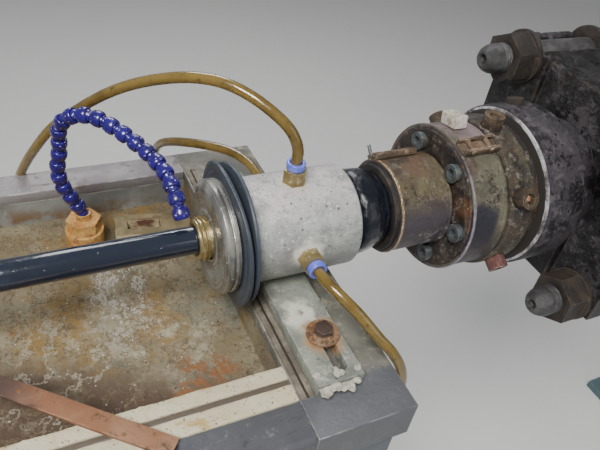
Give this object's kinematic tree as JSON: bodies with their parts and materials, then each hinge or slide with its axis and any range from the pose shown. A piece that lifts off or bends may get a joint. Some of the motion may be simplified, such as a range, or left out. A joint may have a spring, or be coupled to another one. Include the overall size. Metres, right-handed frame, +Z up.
{
  "type": "pipe extruder die head with calibrating sleeve and open sizing tank",
  "caption": "Head end of a plastic pipe extruder: heated die head on clamp flanges and a barrel, water-cooled calibrating sleeve with hoses, and an open sizing tank on a stand.",
  "frame": {"origin": "on the floor under the centre of the barrel pedestal's base plate", "axes": "+X along the pipe from the tank's outlet towards the barrel's rear flange, +Y towards the back of the tank, +Z up"},
  "size_m": [2.14, 0.448, 1.128],
  "materials": {
    "rusty_sheet": "worn steel sheet with rust and limescale",
    "grey_frame": "worn blue-grey steel",
    "galvanised": "dull galvanised steel",
    "stand_paint": "dark grey paint",
    "seal_cream": "yellowed sponge rubber",
    "seal_grey": "dirty grey rubber",
    "foot_steel": "zinc plated, dull",
    "jacket_alu": "turned, speckled with limescale",
    "brass": "dull brass",
    "bright_steel": "turned steel, stained",
    "black_rubber": "matt, smooth",
    "foot_plate": "grey-white, limescale",
    "rust_bolt": "rusted",
    "blue_plastic": "smooth",
    "amber_hose": "yellowed clear hose",
    "pipe_black": "wet black plastic",
    "jointed_blue": "moulded violet-blue plastic",
    "bronze": "orange bronze, limescale",
    "drain_brass": "dull, rusted",
    "rust_strap": "flat rust",
    "die_steel": "brown-grey heat stained steel",
    "heater_skin": "heat stained steel skin",
    "ceramic_white": "glazed heater terminal",
    "screw_steel": "greasy zinc",
    "gasket_white": "fibre gasket",
    "black_grease": "black greasy cast steel",
    "stud_steel": "greasy steel",
    "barrel_steel": "dark nitrided steel",
    "pedestal_paint": "blue-green grey machine paint"
  },
  "bodies": {
    "root": {"tank_floor": "rusty_sheet", "tank_front_wall": "galvanised", "tank_back_wall": "galvanised", "tank_inlet_wall": "galvanised", "tank_outlet_wall": "galvanised", "front_rim": "grey_frame", "back_rim": "galvanised", "inlet_rim": "grey_frame", "outlet_rim": "grey_frame", "front_seals": "seal_cream", "end_seal": "seal_grey", "tank_bearers": "stand_paint", "tank_legs": "stand_paint", "stand_rails": "stand_paint", "levelling_feet": "foot_steel", "jacket": "jacket_alu", "sizing_sleeve": "brass", "end_flange": "bright_steel", "rubber_discs": "black_rubber", "calibrator_foot": "foot_plate", "foot_bolts": "rust_bolt", "fitting_bodies": "brass", "fitting_collars": "blue_plastic", "top_hose": "amber_hose", "rear_hose": "amber_hose", "front_hose": "amber_hose", "water_header": "galvanised", "header_brackets": "galvanised", "pipe": "pipe_black", "soft_pipe": "pipe_black", "spray_block": "bronze", "jointed_hose": "jointed_blue", "drain_box": "drain_brass", "strap_bar": "rust_strap", "die_bush": "die_steel", "mandrel": "die_steel", "lip_heater": "heater_skin", "retaining_ring": "die_steel", "retaining_screws": "screw_steel", "body_heater": "heater_skin", "heater_clamps": "heater_skin", "thermocouple": "screw_steel", "ceramic_terminal": "ceramic_white", "die_body": "die_steel", "centring_bolts": "screw_steel", "gasket": "gasket_white", "adapter": "black_grease", "die_flange": "black_grease", "barrel_flange": "black_grease", "studs": "stud_steel", "nuts": "stud_steel", "barrel": "barrel_steel", "rear_flange": "barrel_steel", "barrel_heaters": "heater_skin", "pedestal_base": "pedestal_paint", "pedestal_column": "pedestal_paint", "saddle": "pedestal_paint", "saddle_strap": "pedestal_paint"}
  },
  "joints": []
}
